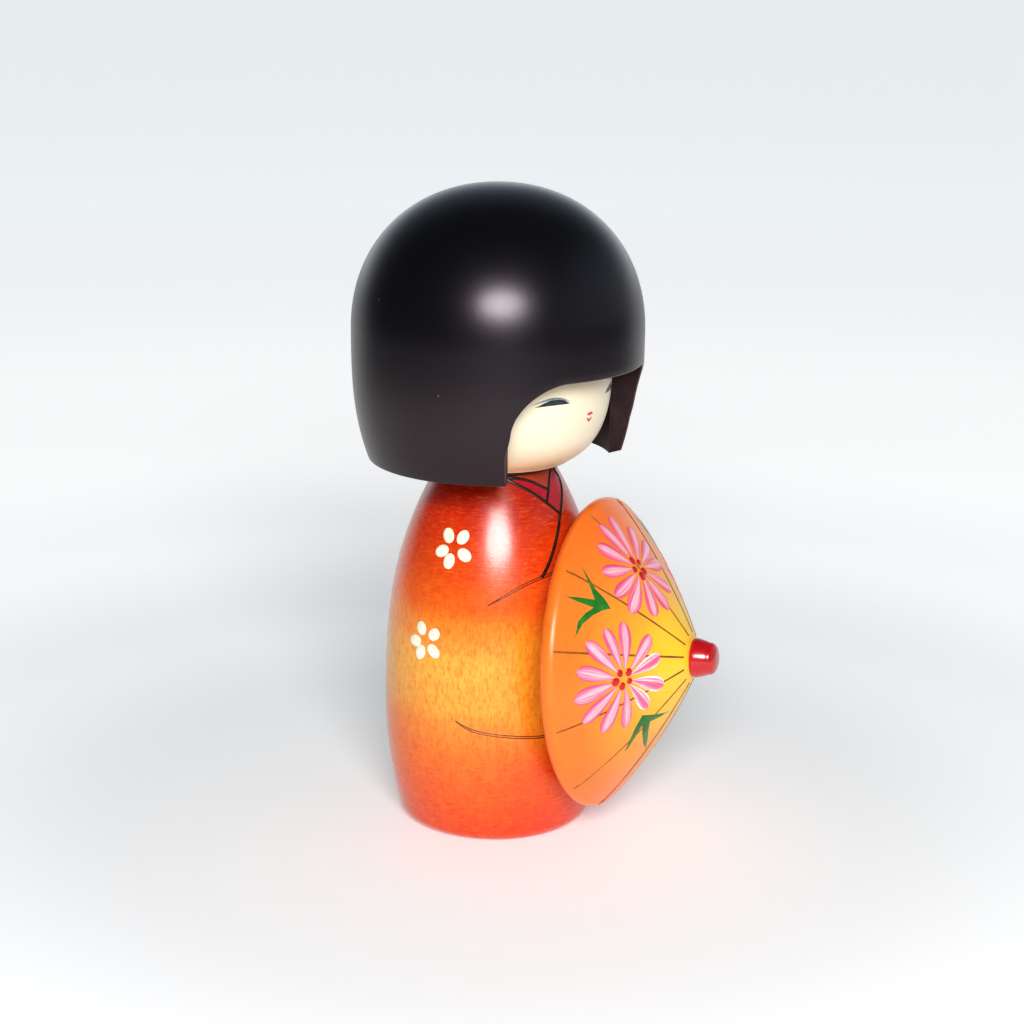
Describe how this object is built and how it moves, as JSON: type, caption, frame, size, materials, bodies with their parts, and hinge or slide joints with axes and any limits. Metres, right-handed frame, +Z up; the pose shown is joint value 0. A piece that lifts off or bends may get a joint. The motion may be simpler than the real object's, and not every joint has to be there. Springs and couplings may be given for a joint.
{
  "type": "kokeshi doll",
  "caption": "Turned wooden kokeshi doll with a bobbed hair cap on a head that turns, and an open parasol plugged into its front.",
  "frame": {"origin": "centre of the torso's flat base, on the axis that the doll is turned about", "axes": "+Z up along the turning axis, the face looks along -Y, the doll's left is +X"},
  "size_m": [0.08, 0.0923, 0.16],
  "materials": {
    "torso_stain": "red to yellow stain under gloss lacquer",
    "bare_wood": "bare turned wood",
    "face_paint": "ivory paint, satin",
    "hair_lacquer": "black lacquer, satin",
    "canopy_stain": "yellow to orange stain under gloss lacquer",
    "finial_lacquer": "red gloss lacquer"
  },
  "bodies": {
    "torso": {"torso": "torso_stain"},
    "head": {"neck_dowel": "bare_wood", "face_block": "face_paint", "hair_cap": "hair_lacquer"},
    "parasol_shaft": {"parasol_shaft": "bare_wood"},
    "parasol": {"parasol_canopy": "canopy_stain", "parasol_finial": "finial_lacquer"}
  },
  "joints": [
    {"name": "head_turn", "type": "hinge", "parent": "torso", "child": "head", "pos_m": [0, 0, 0.0927], "axis": [0, 0, 1], "continuous": true},
    {"name": "parasol_pull", "type": "slide", "parent": "torso", "child": "parasol_shaft", "axis": [0.2532, -0.9651, 0.0663], "range_m": [0, 0.014]},
    {"name": "parasol_turn", "type": "hinge", "parent": "parasol_shaft", "child": "parasol", "pos_m": [0, 0, 0.0442], "axis": [0.2532, -0.9651, 0.0663], "continuous": true}
  ]
}
